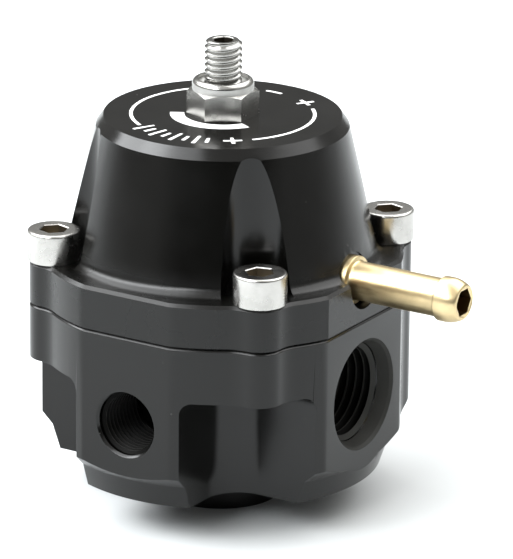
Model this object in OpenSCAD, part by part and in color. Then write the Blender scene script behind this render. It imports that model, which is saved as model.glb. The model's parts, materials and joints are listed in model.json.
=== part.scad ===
/* [Lower body] */
// Turned outside diameter of the body and of the cover's flange
body_d = 58.2; // [56.6:0.1:60]
// Distance across the two inlet flats
inlet_flats = 53.8; // [52:0.1:55]
// Distance across the two gauge flats
gauge_flats = 56; // [54:0.1:57]
// Height from the foot of the port blocks to the seam
body_h = 27.6; // [27:0.1:32]
// Diameter at the foot of the port blocks
foot_d = 52; // [48:0.1:53]
// Height of the drafted band above the foot
foot_band_h = 3.9; // [2:0.1:4.5]
// Growth of radius over the drafted band
foot_draft = 1.3; // [0.4:0.1:2]
// Width of the gauge block between the two pockets
gauge_block_w = 19.3; // [16:0.1:21]
// Width of an inlet block, counted about the inlets' centre line, up to a pocket
inlet_block_w = 26.1; // [23:0.1:27]
// Radius of the cutter that left the inner corner of each pocket beside the gauge port
pocket_corner_r = 6; // [4:0.1:7]
// Radius between a pocket's ceiling and its walls
pocket_fillet_r = 2; // [1:0.1:3]
// Thickness of the flange between the seam and the pockets
body_flange_h = 9; // [7:0.1:9.6]
// Diameter of the round boss under the body
boss_d = 20; // [19:0.1:23]
// Height of the round boss under the body
boss_h = 6.1; // [5:0.1:8]
// Chamfer of the two edges that meet at the seam
seam_chamfer = 0.3; // [0.1:0.05:0.5]

/* [Screw lobes] */
// Pitch circle diameter of the four cap screws
screw_pcd = 54.7; // [54:0.1:56]
// Radius of the lobe around each cap screw
lobe_r = 3.9; // [3.5:0.1:4.5]
// Radius of the hollow that leads from the turned wall into a lobe
lobe_blend_r = 6; // [3:0.1:8]

/* [Ports] */
// Major diameter of the inlet thread
inlet_thread_d = 16; // [14:0.1:16.6]
// Diameter of the inlet's mouth on the flat
inlet_mouth_d = 18.2; // [17.2:0.1:19]
// Depth of the conical seal seat in the inlet's mouth
inlet_seat_depth = 2.6; // [1.5:0.1:3.5]
// Depth of the inlet thread
inlet_depth = 14; // [11:0.1:16]
// Height of the inlet's centre line above the foot
inlet_z = 15.3; // [14.5:0.1:16]
// Diameter of the drilled way from an inlet into the well
inlet_way_d = 11; // [8:0.1:12]
// Major diameter of the gauge thread
gauge_thread_d = 10.2; // [8:0.1:10.6]
// Diameter of the gauge port's mouth
gauge_mouth_d = 11; // [10.7:0.1:12]
// Depth of the gauge thread
gauge_depth = 11; // [8:0.1:13]
// Height of the gauge port's centre line above the foot
gauge_z = 13.2; // [12:0.1:15]
// Diameter of the drilled way from the gauge port into the well
gauge_way_d = 6; // [3:0.1:7]
// Major diameter of the return thread
return_thread_d = 14; // [12:0.1:15]
// Diameter of the return port's mouth
return_mouth_d = 15.8; // [15.2:0.1:17]
// Depth of the conical seal seat in the return port's mouth
return_seat_depth = 2.4; // [1.5:0.1:3]
// Depth of the return thread
return_depth = 12; // [10:0.1:12.5]

/* [Fuel chamber] */
// Diameter of the fuel chamber and of the spring chamber
chamber_d = 30; // [29:0.1:32]
// Depth of the fuel chamber below the seam
fuel_chamber_depth = 2.6; // [2.4:0.1:3.2]
// Diameter of the well under the fuel chamber
well_d = 17; // [16:0.1:18]
// Thickness of the floor between the well and the return port
well_floor = 2.1; // [1.5:0.1:3]

/* [Cover] */
// Thickness of the cover's flange
flange_h = 7.25; // [6.5:0.05:8]
// Chamfer of the flange's upper edge
flange_chamfer = 0.5; // [0.2:0.1:1]
// Width of the flange's ledge between an inlet flat and the foot of the cone
flange_ledge = 1.9; // [1.5:0.1:3]
// Diameter of the cone at its shoulder
cone_top_d = 40.4; // [38:0.1:43]
// Height of the cone from the flange to its shoulder
cone_h = 20.8; // [18:0.1:24]
// Diameter of the flat top
top_d = 38; // [35:0.1:38]
// Height of the bevel between the shoulder and the flat top
bevel_h = 1.65; // [0.5:0.05:2.5]
// Radius between the flange and the cone
cone_fillet_r = 2; // [0.5:0.1:3]
// Diameter of the scallop cut in the cone behind each cap screw
scallop_d = 11.5; // [10.5:0.1:12.5]
// Circle on which the scallops are centred
scallop_pcd = 51.4; // [50:0.1:54]
// Thickness of the cover's top wall
top_wall = 6.8; // [5.5:0.1:7.5]

/* [Cap screws] */
// Thread diameter of a cap screw
screw_d = 5; // [4:0.1:5.4]
// Length of a cap screw under its head
screw_l = 16; // [14:0.1:18]
// Diameter of a cap screw's head
head_d = 8.5; // [7:0.1:9]
// Height of a cap screw's head
head_h = 5; // [4:0.1:6]
// Rounding of the head's upper edge
head_round = 0.5; // [0.2:0.1:1]
// Width across flats of the head's hexagon socket
head_socket_af = 4; // [3:0.1:4.5]
// Depth of the head's hexagon socket
head_socket_depth = 2.6; // [2:0.1:3.5]

/* [Adjuster] */
// Thread diameter of the adjusting screw
stud_d = 6; // [5:0.1:6.5]
// Length of the adjusting screw
stud_l = 20; // [19.8:0.1:22]
// Chamfer at the ends of the adjusting screw
stud_chamfer = 0.7; // [0.3:0.1:1]
// Width across flats of the adjusting screw's socket
stud_socket_af = 3; // [2:0.1:3.2]
// Depth of the adjusting screw's socket
stud_socket_depth = 3.5; // [2:0.1:5]
// Width across flats of the lock nut
nut_af = 10; // [9:0.1:12]
// Height of the lock nut's hexagon
nut_hex_h = 4.2; // [3.5:0.1:5]
// Height of the lock nut's round collar
nut_collar_h = 1.8; // [1.6:0.1:2.5]
// Outside diameter of the nylon ring in the lock nut
nut_ring_d = 8.6; // [8:0.1:8.8]
// Height of the nylon ring in the lock nut
nut_ring_h = 1.6; // [1:0.1:2]
// Diameter of the lock nut's round collar
nut_collar_d = 9.9; // [9.6:0.1:10]
// Width of the lip that is rolled over the nylon ring
nut_lip_w = 0.25; // [0.1:0.05:0.5]
// Height of the lip that is rolled over the nylon ring
nut_lip_h = 0.7; // [0.4:0.1:0.9]
// Turn of the lock nut about the axis, in degrees
nut_turn = 32.5; // [0:0.5:60]

/* [Vacuum barb] */
// Height of the barb's axis above the seam
barb_z = 6.55; // [5.6:0.05:7]
// Diameter of the spot face round the barb
spot_face_d = 8.8; // [8.4:0.1:9.6]
// Depth of the spot face's floor behind the inlet flat
spot_face_depth = 2.9; // [2.5:0.1:3.4]
// Diameter of the barb's collar
collar_d = 7.8; // [7:0.1:8.2]
// Length of the barb's collar
collar_l = 1.9; // [1.2:0.1:2.5]
// Diameter of the barb's tube
tube_d = 6.2; // [5.6:0.1:6.6]
// Distance from the spot face to the barb's tip
barb_l = 20.9; // [18:0.1:24]
// Diameter of the bead that holds the hose
bead_d = 7.2; // [6.8:0.1:7.6]
// Length of the bead
bead_l = 2.4; // [1.5:0.1:3]
// Length of the taper in front of the bead
tip_l = 1.7; // [1:0.1:2.5]
// Diameter of the barb's end face
tip_d = 5.6; // [5:0.1:6]
// Width across flats of the hexagon in the barb's tip
barb_socket_af = 4; // [3:0.1:4.2]
// Depth of the hexagon in the barb's tip
barb_socket_depth = 4; // [2:0.1:6]
// Diameter of the hole through the barb
barb_bore_d = 2.8; // [2:0.1:3]
// Thread diameter of the barb
barb_thread_d = 5; // [4.5:0.1:5.4]
// Length of the barb's thread
barb_thread_l = 6; // [4:0.1:7]

/* [Diaphragm] */
// Outside diameter of the diaphragm
diaphragm_d = 43; // [40:0.1:44]
// Thickness of the diaphragm
diaphragm_t = 1; // [0.6:0.1:1.2]
// Radius of the diaphragm's rolled ring on its middle line
roll_r = 1.1; // [0.9:0.1:1.3]
// Diameter of the plate on top of the diaphragm
plate_d = 22; // [20:0.1:22.4]
// Thickness of the plate on top of the diaphragm
plate_t = 2; // [1.5:0.1:3]
// Height of the spigot that centres the spring
spigot_h = 1.5; // [1:0.1:2.5]

/* [Valve] */
// Diameter of the valve holder's stem
stem_d = 4; // [3:0.1:4.4]
// Width across flats of the nut on the stem
stem_nut_af = 7; // [6.4:0.1:8]
// Height of the nut on the stem
stem_nut_h = 3.2; // [2:0.1:4]
// Diameter of the washer under that nut
stem_washer_d = 9; // [8:0.1:10]
// Thickness of the washer under that nut
stem_washer_t = 0.8; // [0.5:0.1:1.2]
// Diameter of the valve holder's flange
holder_flange_d = 15; // [13:0.1:15.4]
// Thickness of the valve holder's flange
holder_flange_t = 1.8; // [1.2:0.1:2]
// Outside diameter of the cup that holds the ball
holder_cup_d = 9.2; // [8.4:0.1:10]
// Diameter of the valve ball
ball_d = 6; // [5:0.1:6.6]
// Bore of the valve seat
seat_bore_d = 4.4; // [3.5:0.1:4.6]
// Outside diameter of the valve seat's pipe
seat_pipe_d = 8; // [7:0.1:8.4]
// Diameter of the valve seat's shoulder
seat_shoulder_d = 12.4; // [12:0.1:13]
// Thickness of the valve seat's shoulder
seat_shoulder_t = 2.4; // [2:0.1:3]
// Section diameter of the O-ring under the shoulder
oring_d = 1.2; // [0.8:0.1:1.4]

/* [Spring] */
// Wire diameter of the pressure spring
wire_d = 2; // [1.4:0.1:2.1]
// Mean diameter of the pressure spring's coils
coil_d = 17; // [16.8:0.1:17.6]
// Number of turns of the pressure spring
coil_turns = 4.5; // [3.5:0.5:5]
// Diameter of the button that presses on the spring
button_d = 22; // [20:0.1:24]
// Thickness of the button that presses on the spring
button_t = 3; // [2:0.1:4]

/* [Hidden] */
$fn = 96;

// Clearances and small allowances
thread_gap = 0.05;
screw_gap = 0.25;
run_gap = 0.05;
ceiling_gap = 0.2;
rim_gap = 0.1;
cut = 1;
hair = 0.02;
crossing = 0.004;
stem_proud = 0.4;
dimple_depth = 0.75;

// Colours
anodised = [0.09, 0.09, 0.1];
steel = [0.78, 0.78, 0.8];
brass_gold = [0.85, 0.68, 0.36];
nylon = [0.5, 0.5, 0.48];
rubber = [0.13, 0.13, 0.13];

// Levels along the axis, counted from the underside of the boss
foot_z = boss_h;
seam_z = foot_z + body_h;
flange_z = seam_z + flange_h;
shoulder_z = flange_z + cone_h;
top_z = shoulder_z + bevel_h;
ceiling_z = top_z - top_wall;
pocket_z = seam_z - body_flange_h;
screw_hole_z = min(pocket_z, flange_z - screw_l);
fuel_floor_z = seam_z - fuel_chamber_depth;
well_z = return_depth + well_floor;
barb_axis_z = seam_z + barb_z;

// Radii that several pieces share
body_r = body_d / 2;
screw_r = screw_pcd / 2;
lobe_reach = screw_r + lobe_r;
hollow_r = lobe_blend_r + crossing;
reach = body_d;
recess_d = diaphragm_d + 2 * rim_gap;
cone_base_d = inlet_flats - 2 * flange_ledge;
spot_face_x = inlet_flats / 2 - spot_face_depth;
stud_hole_d = stud_d + 2 * thread_gap;
screw_angles = [45, 135, 225, 315];

// Levels of the moving stack, from the diaphragm outwards
diaphragm_low = seam_z - diaphragm_t / 2;
diaphragm_high = seam_z + diaphragm_t / 2;
plate_z = diaphragm_high + plate_t;
spigot_z = plate_z + spigot_h;
washer_z = spigot_z + stem_washer_t;
stem_nut_z = washer_z + stem_nut_h;
stem_top_z = stem_nut_z + stem_proud;
holder_low = diaphragm_low - holder_flange_t;
roll_centre = (plate_d / 2 + chamber_d / 2) / 2;

// Levels of the button, the adjusting screw and the spring
button_top = ceiling_z - ceiling_gap;
button_low = button_top - button_t;
stud_low = button_top - dimple_depth + hair;
spigot_d = coil_d - wire_d - 2 * ceiling_gap;

// The ball hangs in its cup just clear of the seat
cup_wrap = ball_d / 8;
ball_cavity_d = ball_d + 2 * run_gap;
cup_roof = (holder_cup_d - ball_cavity_d) / 2;
ball_z = holder_low - cup_roof - ball_cavity_d / 2;
cup_low = ball_z - cup_wrap;
seat_top = ball_z - sqrt(pow(ball_d / 2, 2) - pow(seat_bore_d / 2, 2)) - run_gap;
seat_low = return_depth + hair;
groove_d = (seat_pipe_d + seat_shoulder_d) / 2;
groove_depth = oring_d + hair;

// Centre of the hollow that touches the turned wall and a lobe, on one side of a lobe's own axis
function blend_centre(side) =
    let (
        to_wall = body_r + lobe_blend_r,
        to_lobe = lobe_r + lobe_blend_r,
        along = (pow(to_wall, 2) - pow(to_lobe, 2) + pow(screw_r, 2)) / (2 * screw_r)
    )
    [along, side * sqrt(pow(to_wall, 2) - pow(along, 2))];

// Lobe with its two hollows; the insets draw the outline in at the lower and the upper end
module lobe(h, inset_low, inset_high) {
    translate([screw_r, 0, 0]) cylinder(h = h, r1 = lobe_r - inset_low, r2 = lobe_r - inset_high);
    for (side = [-1, 1])
        difference() {
            linear_extrude(height = h) polygon([[0, 0], [screw_r, 0], blend_centre(side)]);
            translate(blend_centre(side))
                cylinder(h = h, r1 = hollow_r + inset_low, r2 = hollow_r + inset_high);
        }
}

// Space between two opposite flats, along Y, with its sides drawn in by the insets
module between_flats(across, h, inset_low, inset_high) {
    rotate([90, 0, 0])
        linear_extrude(height = 2 * reach, center = true)
            polygon([
                [-across / 2 + inset_low, 0], [across / 2 - inset_low, 0],
                [across / 2 - inset_high, h], [-across / 2 + inset_high, h]
            ]);
}

// Slice of the lobed outline
module lobed_slice(h, inset_low = 0, inset_high = 0) {
    intersection() {
        union() {
            cylinder(h = h, r1 = body_r - inset_low, r2 = body_r - inset_high);
            for (a = screw_angles) rotate(a) lobe(h, inset_low, inset_high);
        }
        between_flats(inlet_flats, h, inset_low, inset_high);
        rotate(90) between_flats(gauge_flats, h, inset_low, inset_high);
    }
}

// Lobed block with a chamfer at each end, either of which may be nought
module lobed_block(h, low = 0, high = 0) {
    translate([0, 0, low]) lobed_slice(h - low - high);
    if (low > 0) lobed_slice(low, low, 0);
    if (high > 0) translate([0, 0, h - high]) lobed_slice(high, 0, high);
}

// Turned envelope of the body's foot: a drafted band and a 45 degree bevel
module foot_envelope() {
    band_r = foot_d / 2 + foot_draft;
    band_z = foot_z + foot_band_h;
    rotate_extrude()
        polygon([
            [0, foot_z], [foot_d / 2, foot_z], [band_r, band_z],
            [lobe_reach + cut, band_z + lobe_reach + cut - band_r],
            [lobe_reach + cut, seam_z + cut], [0, seam_z + cut]
        ]);
}

// Plan of one pocket, drawn in from its walls
module pocket_plan(inset) {
    corner = [gauge_block_w / 2 + inset, inlet_block_w / 2 + inset];
    corner_r = pocket_corner_r - inset;
    translate([corner.x + corner_r, corner.y]) square(reach);
    translate([corner.x, corner.y + corner_r]) square(reach);
    translate(corner + [corner_r, corner_r]) circle(corner_r);
}

// Pocket under a lobe beside the gauge port, as a bull-nosed cutter leaves it
module pocket() {
    fillet = min(pocket_fillet_r, pocket_corner_r - hair);
    fillet_z = pocket_z - fillet;
    wall = [gauge_block_w / 2, inlet_block_w / 2];
    middle = wall + [pocket_corner_r, pocket_corner_r];
    translate([0, 0, foot_z - cut]) linear_extrude(height = fillet_z - foot_z + cut) pocket_plan(0);
    translate([0, 0, foot_z - cut]) linear_extrude(height = pocket_z - foot_z + cut) pocket_plan(fillet);
    translate([wall.x + fillet, middle.y, fillet_z]) rotate([-90, 0, 0]) cylinder(h = reach, r = fillet);
    translate([middle.x, wall.y + fillet, fillet_z]) rotate([0, 90, 0]) cylinder(h = reach, r = fillet);
    translate([middle.x, middle.y, fillet_z])
        rotate_extrude() translate([pocket_corner_r - fillet, 0]) intersection() {
            circle(fillet);
            translate([0, -fillet]) square([fillet, 2 * fillet]);
        }
}

// Threaded port seen from its mouth, which faces +Z at the origin
module port(thread_d, mouth_d, seat_depth, depth) {
    translate([0, 0, -depth]) cylinder(h = depth + cut, d = thread_d);
    translate([0, 0, -seat_depth]) cylinder(h = seat_depth, d1 = thread_d, d2 = mouth_d);
    cylinder(h = cut, d = mouth_d);
}

module inlet_port() {
    translate([inlet_flats / 2, 0, foot_z + inlet_z]) rotate([0, 90, 0]) {
        port(inlet_thread_d, inlet_mouth_d, inlet_seat_depth, inlet_depth);
        translate([0, 0, -inlet_flats / 2]) cylinder(h = inlet_flats / 2, d = inlet_way_d);
    }
}

module gauge_port() {
    bevel = (gauge_mouth_d - gauge_thread_d) / 2;
    translate([0, -gauge_flats / 2, foot_z + gauge_z]) rotate([90, 0, 0]) {
        port(gauge_thread_d, gauge_mouth_d, bevel, gauge_depth);
        translate([0, 0, -gauge_flats / 2]) cylinder(h = gauge_flats / 2, d = gauge_way_d);
    }
}

module return_port() {
    rotate([180, 0, 0]) port(return_thread_d, return_mouth_d, return_seat_depth, return_depth);
}

// Recess for half of the diaphragm's thickness, on both sides of the seam
module diaphragm_recess() {
    translate([0, 0, diaphragm_low]) cylinder(h = diaphragm_t, d = recess_d);
}

module lower_body() {
    color(anodised) difference() {
        union() {
            cylinder(h = foot_z + cut, d = boss_d);
            intersection() {
                translate([0, 0, foot_z]) lobed_block(body_h, high = seam_chamfer);
                foot_envelope();
            }
        }
        for (mx = [0, 1]) mirror([mx, 0, 0]) mirror([0, 1, 0]) pocket();
        for (mx = [0, 1]) mirror([mx, 0, 0]) inlet_port();
        gauge_port();
        return_port();
        translate([0, 0, return_depth - cut])
            cylinder(h = well_floor + 2 * cut, d = seat_pipe_d + 2 * thread_gap);
        translate([0, 0, well_z]) cylinder(h = seam_z - well_z, d = well_d);
        translate([0, 0, fuel_floor_z]) cylinder(h = fuel_chamber_depth + cut, d = chamber_d);
        diaphragm_recess();
        for (a = screw_angles) rotate(a) translate([screw_r, 0, screw_hole_z - cut])
            cylinder(h = seam_z - screw_hole_z + 2 * cut, d = screw_d + 2 * thread_gap);
    }
}

// Cone of the cover with its bevelled top and the hollow that leads up from the flange
module cover_cone() {
    slope = atan((cone_base_d - cone_top_d) / 2 / cone_h);
    lead = cone_fillet_r * tan((90 - slope) / 2);
    foot_r = cone_base_d / 2;
    rotate_extrude() difference() {
        union() {
            polygon([
                [0, -cut], [foot_r, -cut], [foot_r, 0], [cone_top_d / 2, cone_h],
                [top_d / 2, cone_h + bevel_h], [0, cone_h + bevel_h]
            ]);
            polygon([
                [foot_r - cut, 0], [foot_r + lead, 0],
                [foot_r + lead, cone_fillet_r],
                [foot_r - lead * sin(slope), lead * cos(slope)]
            ]);
        }
        translate([foot_r + lead, cone_fillet_r]) circle(cone_fillet_r);
    }
}

module spring_cover() {
    spot_l = reach - spot_face_x;
    color(anodised) difference() {
        union() {
            translate([0, 0, seam_z]) lobed_block(flange_h, seam_chamfer, flange_chamfer);
            translate([0, 0, flange_z]) cover_cone();
        }
        for (a = screw_angles) rotate(a) {
            translate([scallop_pcd / 2, 0, flange_z]) cylinder(h = top_z - flange_z + cut, d = scallop_d);
            translate([screw_r, 0, seam_z - cut])
                cylinder(h = flange_h + 2 * cut, d = screw_d + 2 * screw_gap);
        }
        translate([0, 0, seam_z - cut]) cylinder(h = ceiling_z - seam_z + cut, d = chamber_d);
        translate([0, 0, ceiling_z - cut]) cylinder(h = top_wall + 2 * cut, d = stud_hole_d);
        diaphragm_recess();
        translate([0, 0, barb_axis_z]) rotate([0, 90, 0]) {
            translate([0, 0, spot_face_x]) cylinder(h = spot_l, d = spot_face_d);
            translate([0, 0, spot_face_x - barb_thread_l - cut])
                cylinder(h = barb_thread_l + 2 * cut, d = barb_thread_d + 2 * thread_gap);
            cylinder(h = spot_face_x, d = barb_bore_d);
        }
    }
}

// Hexagonal prism measured across its flats, with a flat on each side of Y
module hexagon(af, h) {
    cylinder(h = h, d = af / cos(30), $fn = 6);
}

module cap_screw() {
    difference() {
        union() {
            translate([0, 0, -screw_l]) cylinder(h = screw_l + cut, d = screw_d);
            rotate_extrude() {
                square([head_d / 2, head_h - head_round]);
                square([head_d / 2 - head_round, head_h]);
                translate([head_d / 2 - head_round, head_h - head_round]) circle(head_round);
            }
        }
        translate([0, 0, head_h - head_socket_depth]) hexagon(head_socket_af, head_socket_depth + cut);
    }
}

module cap_screws() {
    color(steel) for (a = screw_angles) rotate(a) translate([screw_r, 0, flange_z]) cap_screw();
}

module adjusting_screw() {
    color(steel) translate([0, 0, stud_low]) difference() {
        rotate_extrude() polygon([
            [0, 0], [stud_d / 2 - stud_chamfer, 0], [stud_d / 2, stud_chamfer],
            [stud_d / 2, stud_l - stud_chamfer], [stud_d / 2 - stud_chamfer, stud_l], [0, stud_l]
        ]);
        translate([0, 0, stud_l - stud_socket_depth]) hexagon(stud_socket_af, stud_socket_depth + cut);
    }
}

// Hexagon with its upper corners bevelled, carrying the collar that is rolled over the nylon ring
module lock_nut() {
    corner_r = nut_af / 2 / cos(30);
    bevel = corner_r - nut_af / 2;
    nut_h = nut_hex_h + nut_collar_h;
    collar_r = nut_collar_d / 2;
    mouth_d = nut_ring_d - 2 * nut_lip_w;
    color(steel) translate([0, 0, top_z]) difference() {
        union() {
            intersection() {
                rotate(nut_turn) hexagon(nut_af, nut_hex_h);
                rotate_extrude() polygon([
                    [0, 0], [corner_r, 0], [corner_r, nut_hex_h - bevel / 2],
                    [corner_r - bevel, nut_hex_h], [0, nut_hex_h]
                ]);
            }
            rotate_extrude() {
                square([collar_r, nut_h - nut_collar_h / 2]);
                square([collar_r - nut_collar_h / 2, nut_h]);
                translate([collar_r - nut_collar_h / 2, nut_h - nut_collar_h / 2]) circle(nut_collar_h / 2);
            }
        }
        translate([0, 0, -cut]) cylinder(h = nut_h + 2 * cut, d = stud_hole_d);
        translate([0, 0, nut_h - nut_ring_h - nut_lip_h]) cylinder(h = nut_ring_h, d = nut_ring_d);
        translate([0, 0, nut_h - nut_lip_h - hair]) cylinder(h = nut_lip_h + cut, d = mouth_d);
    }
}

module lock_nut_ring() {
    color(nylon) translate([0, 0, top_z + nut_hex_h + nut_collar_h - nut_ring_h - nut_lip_h]) difference() {
        cylinder(h = nut_ring_h - hair, d = nut_ring_d);
        translate([0, 0, -cut]) cylinder(h = nut_ring_h + 2 * cut, d = stud_hole_d);
    }
}

// Barb drawn along +Z from its seat on the spot face, then laid along +X
module vacuum_barb() {
    bead_z = barb_l - tip_l - bead_l;
    bead_round = (bead_d - tube_d) / 2;
    collar_round = (collar_d - tube_d) / 2;
    color(brass_gold) translate([spot_face_x, 0, barb_axis_z]) rotate([0, 90, 0]) difference() {
        union() {
            translate([0, 0, -barb_thread_l]) cylinder(h = barb_thread_l + cut, d = barb_thread_d);
            cylinder(h = barb_l - tip_l, d = tube_d);
            rotate_extrude() {
                square([collar_d / 2, collar_l - collar_round]);
                translate([tube_d / 2, collar_l - collar_round]) circle(collar_round);
                square([tube_d / 2, collar_l]);
                translate([0, bead_z + bead_round]) square([bead_d / 2, bead_l - bead_round]);
                translate([tube_d / 2, bead_z + bead_round]) circle(bead_round);
            }
            translate([0, 0, barb_l - tip_l]) cylinder(h = tip_l, d1 = bead_d, d2 = tip_d);
        }
        translate([0, 0, -barb_thread_l - cut])
            cylinder(h = barb_l + barb_thread_l + 2 * cut, d = barb_bore_d);
        translate([0, 0, barb_l - barb_socket_depth]) hexagon(barb_socket_af, barb_socket_depth + cut);
    }
}

// Flat disc with one rolled ring between the plate and the chamber's wall
module diaphragm() {
    outer_r = roll_r + diaphragm_t / 2;
    inner_r = roll_r - diaphragm_t / 2;
    hole_r = stem_d / 2 + thread_gap;
    color(rubber) rotate_extrude() translate([0, diaphragm_low]) difference() {
        union() {
            translate([hole_r, 0]) square([diaphragm_d / 2 - hole_r, diaphragm_t]);
            intersection() {
                translate([roll_centre, 0]) circle(outer_r);
                translate([roll_centre - outer_r, 0]) square([2 * outer_r, outer_r]);
            }
        }
        translate([roll_centre, 0]) circle(inner_r);
    }
}

module diaphragm_plate() {
    color(steel) difference() {
        union() {
            translate([0, 0, diaphragm_high]) cylinder(h = plate_t, d = plate_d);
            translate([0, 0, plate_z - cut]) cylinder(h = spigot_h + cut, d = spigot_d);
        }
        translate([0, 0, diaphragm_high - cut])
            cylinder(h = plate_t + spigot_h + 2 * cut, d = stem_d + 2 * thread_gap);
    }
}

module valve_holder() {
    color(steel) difference() {
        union() {
            translate([0, 0, diaphragm_low - cut]) cylinder(h = stem_top_z - diaphragm_low + cut, d = stem_d);
            translate([0, 0, holder_low]) cylinder(h = holder_flange_t, d = holder_flange_d);
            translate([0, 0, cup_low]) cylinder(h = holder_low - cup_low + hair, d = holder_cup_d);
        }
        translate([0, 0, ball_z]) sphere(d = ball_cavity_d);
    }
}

module stem_washer() {
    color(steel) translate([0, 0, spigot_z]) difference() {
        cylinder(h = stem_washer_t, d = stem_washer_d);
        translate([0, 0, -cut]) cylinder(h = stem_washer_t + 2 * cut, d = stem_d + 2 * thread_gap);
    }
}

module stem_nut() {
    color(steel) translate([0, 0, washer_z]) difference() {
        hexagon(stem_nut_af, stem_nut_h);
        translate([0, 0, -cut]) cylinder(h = stem_nut_h + 2 * cut, d = stem_d + 2 * thread_gap);
    }
}

module valve_ball() {
    color(steel) translate([0, 0, ball_z]) sphere(d = ball_d);
}

// Stand-pipe screwed through the well's floor, sealed by an O-ring under its shoulder
module valve_seat() {
    groove_w = oring_d + 2 * hair;
    color(brass_gold) difference() {
        union() {
            translate([0, 0, seat_low]) cylinder(h = seat_top - seat_low, d = seat_pipe_d);
            translate([0, 0, well_z]) cylinder(h = seat_shoulder_t, d = seat_shoulder_d);
        }
        translate([0, 0, seat_low - cut]) cylinder(h = seat_top - seat_low + 2 * cut, d = seat_bore_d);
        translate([0, 0, well_z - cut]) rotate_extrude()
            translate([groove_d / 2 - groove_w / 2, 0]) square([groove_w, groove_depth + cut]);
    }
}

module seat_oring() {
    color(rubber) translate([0, 0, well_z + oring_d / 2])
        rotate_extrude() translate([groove_d / 2, 0]) circle(d = oring_d);
}

// Round wire swept along a helix whose ends lie flat on the plate and on the button
module pressure_spring() {
    sides = 10;
    steps_per_turn = 24;
    wire_r = wire_d / 2 - hair;
    rings = round(coil_turns * steps_per_turn);
    low = plate_z + wire_d / 2;
    rise = button_low - plate_z - wire_d;
    closed = 0.75;
    function climb(turn) = min(max((turn - closed) / (coil_turns - 2 * closed), 0), 1);
    points = [
        for (i = [0:rings], j = [0:sides - 1])
            let (
                turn = i / steps_per_turn,
                r = coil_d / 2 + wire_r * cos(360 * j / sides),
                z = low + rise * climb(turn) + wire_r * sin(360 * j / sides)
            )
            [r * cos(360 * turn), r * sin(360 * turn), z]
    ];
    walls = [
        for (i = [0:rings - 1], j = [0:sides - 1])
            let (k = (j + 1) % sides)
            [i * sides + j, i * sides + k, (i + 1) * sides + k, (i + 1) * sides + j]
    ];
    ends = [
        [for (j = [sides - 1:-1:0]) j],
        [for (j = [0:sides - 1]) rings * sides + j]
    ];
    color(steel) polyhedron(points, concat(walls, ends), convexity = 10);
}

// Button with a spigot for the spring below and a dimple for the adjusting screw's tip above
module spring_button() {
    color(steel) difference() {
        union() {
            translate([0, 0, button_low]) cylinder(h = button_t, d = button_d);
            translate([0, 0, button_low - spigot_h]) cylinder(h = spigot_h + cut, d = spigot_d);
        }
        translate([0, 0, button_top - dimple_depth]) cylinder(h = dimple_depth + cut, d = stud_hole_d);
    }
}

lower_body();
spring_cover();
cap_screws();
adjusting_screw();
lock_nut();
lock_nut_ring();
vacuum_barb();
diaphragm();
diaphragm_plate();
valve_holder();
stem_washer();
stem_nut();
valve_ball();
valve_seat();
seat_oring();
pressure_spring();
spring_button();
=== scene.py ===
"""Dresses the solids of a fuel pressure regulator with threads, eased edges and metal finishes."""

import json
import math
from functools import cache

import bmesh
import bpy
from bpy.props import FloatProperty, FloatVectorProperty, IntProperty, PointerProperty
from bpy.types import NodeSocket, Operator, Panel, PropertyGroup
from mathutils import Matrix, Vector


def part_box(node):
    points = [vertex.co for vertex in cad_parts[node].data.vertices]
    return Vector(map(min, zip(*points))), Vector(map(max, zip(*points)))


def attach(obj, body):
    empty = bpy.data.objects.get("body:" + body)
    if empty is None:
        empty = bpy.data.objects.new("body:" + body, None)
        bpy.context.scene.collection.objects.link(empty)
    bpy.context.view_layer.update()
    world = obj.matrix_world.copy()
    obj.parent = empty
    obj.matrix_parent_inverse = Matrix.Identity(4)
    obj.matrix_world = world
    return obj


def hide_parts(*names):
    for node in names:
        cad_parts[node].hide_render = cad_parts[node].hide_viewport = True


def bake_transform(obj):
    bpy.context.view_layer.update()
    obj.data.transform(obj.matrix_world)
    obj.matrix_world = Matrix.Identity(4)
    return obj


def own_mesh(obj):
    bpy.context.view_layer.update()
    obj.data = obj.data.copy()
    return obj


bl_info = {
    "name": "Fuel Pressure Regulator",
    "version": (1, 0, 0),
    "blender": (4, 5, 0),
    "location": "View3D > Sidebar > Regulator",
    "description": "Dresses the solids of a fuel pressure regulator with threads, edges and metal finishes",
    "category": "Object",
}

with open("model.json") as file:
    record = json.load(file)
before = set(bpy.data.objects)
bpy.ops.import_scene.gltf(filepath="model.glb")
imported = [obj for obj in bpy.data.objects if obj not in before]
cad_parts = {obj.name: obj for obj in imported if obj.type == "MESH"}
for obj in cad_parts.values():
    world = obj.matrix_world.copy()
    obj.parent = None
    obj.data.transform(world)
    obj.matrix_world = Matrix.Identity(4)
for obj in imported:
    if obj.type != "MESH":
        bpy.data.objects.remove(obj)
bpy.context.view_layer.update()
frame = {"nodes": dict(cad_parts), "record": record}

MM = 0.001
SCREW_HEAD = 5.0
BARB_THREAD = 6.0
BARB_COLLAR = 1.25
BARB_TUBE = 3.1
CREASE = math.radians(28)
FLOAT = "NodeSocketFloat"
INT = "NodeSocketInt"
VECTOR = "NodeSocketVector"
GEOMETRY = "NodeSocketGeometry"
MATERIAL = "NodeSocketMaterial"
OBJECT = "NodeSocketObject"

mounts = {mount["name"]: mount for mount in frame["record"]["mounts"]}
stud_low, stud_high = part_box("adjusting_screw")
barb_low, barb_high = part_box("vacuum_barb")
cover_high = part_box("spring_cover")[1]
screws_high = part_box("cap_screws")[1]
plate_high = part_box("diaphragm_plate")[1]
button_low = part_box("spring_button")[0]
barb_level = (barb_low.z + barb_high.z) / 2


def metres(name, description, default):
    """Property for a length in metres."""
    return FloatProperty(name=name, description=description, default=default, unit="LENGTH", precision=6)


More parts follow.
